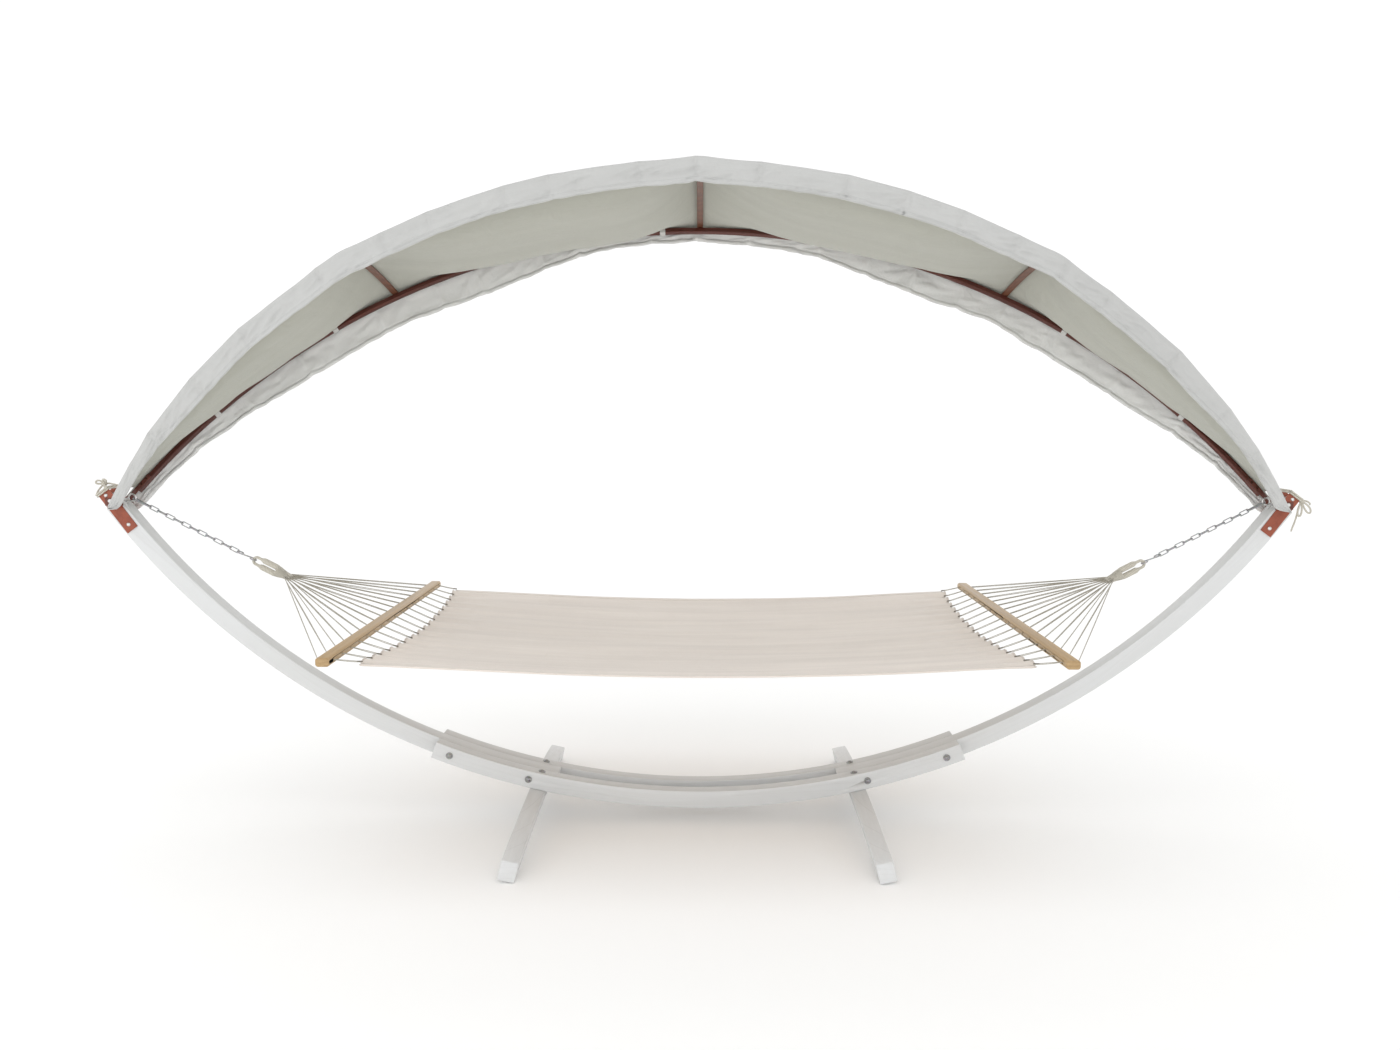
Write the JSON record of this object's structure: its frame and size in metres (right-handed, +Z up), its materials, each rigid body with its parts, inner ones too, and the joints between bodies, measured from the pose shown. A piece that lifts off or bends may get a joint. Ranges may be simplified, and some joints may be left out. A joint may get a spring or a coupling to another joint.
{
  "type": "hammock on stand",
  "caption": "Spreader-bar hammock hung by chains from an arched timber stand on two cross feet, with a tilted bow-framed fabric canopy above it.",
  "frame": {"origin": "on the ground, at the centre of the stand, midway between the two feet and on the plane of the arms", "axes": "+X runs along the stand to its right tip as seen from the front, +Y goes to the back, so -Y is the front, and +Z is up"},
  "size_m": [4.0856, 1.4, 2.1961],
  "materials": {
    "painted_wood": "white satin paint over laminated timber",
    "zinc": "bright zinc plating",
    "galvanised": "dull galvanised wire",
    "plate_paint": "terracotta red-brown paint, satin",
    "bow_wood": "dark red-brown stain, satin",
    "crossbar_wood": "mid brown stain, satin",
    "canopy_fabric": "plain weave, off-white",
    "cord": "laid cotton cord, cream",
    "rope": "whipped cotton rope, cream",
    "bar_wood": "clear satin varnish",
    "bed_fabric": "quilted canvas, off-white"
  },
  "bodies": {
    "stand": {"rail_front": "painted_wood", "rail_back": "painted_wood", "arm_left": "painted_wood", "arm_right": "painted_wood", "foot_left": "painted_wood", "foot_right": "painted_wood", "frame_bolts": "zinc", "frame_washers": "zinc", "frame_nuts": "zinc", "foot_bolts": "zinc", "foot_washers": "zinc", "foot_nuts": "zinc", "plate_left_front": "plate_paint", "plate_left_back": "plate_paint", "plate_right_front": "plate_paint", "plate_right_back": "plate_paint", "tip_bolts": "zinc", "tip_nuts": "zinc", "tip_spacers": "zinc", "eye_bolt_left": "zinc", "eye_bolt_right": "zinc", "eye_nuts": "zinc", "canopy_bow_front": "bow_wood", "canopy_bow_back": "bow_wood", "bow_straps": "plate_paint", "bow_screws": "zinc", "crossbar_left": "crossbar_wood", "crossbar_centre": "crossbar_wood", "crossbar_right": "crossbar_wood", "crossbar_screws": "zinc", "canopy_roof": "canopy_fabric", "canopy_valance_front": "canopy_fabric", "canopy_valance_back": "canopy_fabric", "canopy_loops": "canopy_fabric", "canopy_tie_left": "cord", "canopy_tie_right": "cord"},
    "hangers": {"snap_hook_left": "galvanised", "snap_hook_right": "galvanised", "chain_left": "galvanised", "chain_right": "galvanised", "s_hook_left": "galvanised", "s_hook_right": "galvanised"},
    "bed": {"clew_loop_left": "rope", "clew_loop_right": "rope", "clew_band_left": "rope", "clew_band_right": "rope", "clew_cords_left": "cord", "clew_cords_right": "cord", "spreader_bar_left": "bar_wood", "spreader_bar_right": "bar_wood", "bed_cloth": "bed_fabric"}
  },
  "joints": [
    {"name": "hang_swing", "type": "hinge", "parent": "stand", "child": "hangers", "pos_m": [0, 0, 1.08995], "axis": [1, 0, 0], "range_deg": [-30, 30]},
    {"name": "bed_roll", "type": "hinge", "parent": "hangers", "child": "bed", "pos_m": [0, 0, 0.88198], "axis": [1, 0, 0], "range_deg": [-15, 15]}
  ]
}
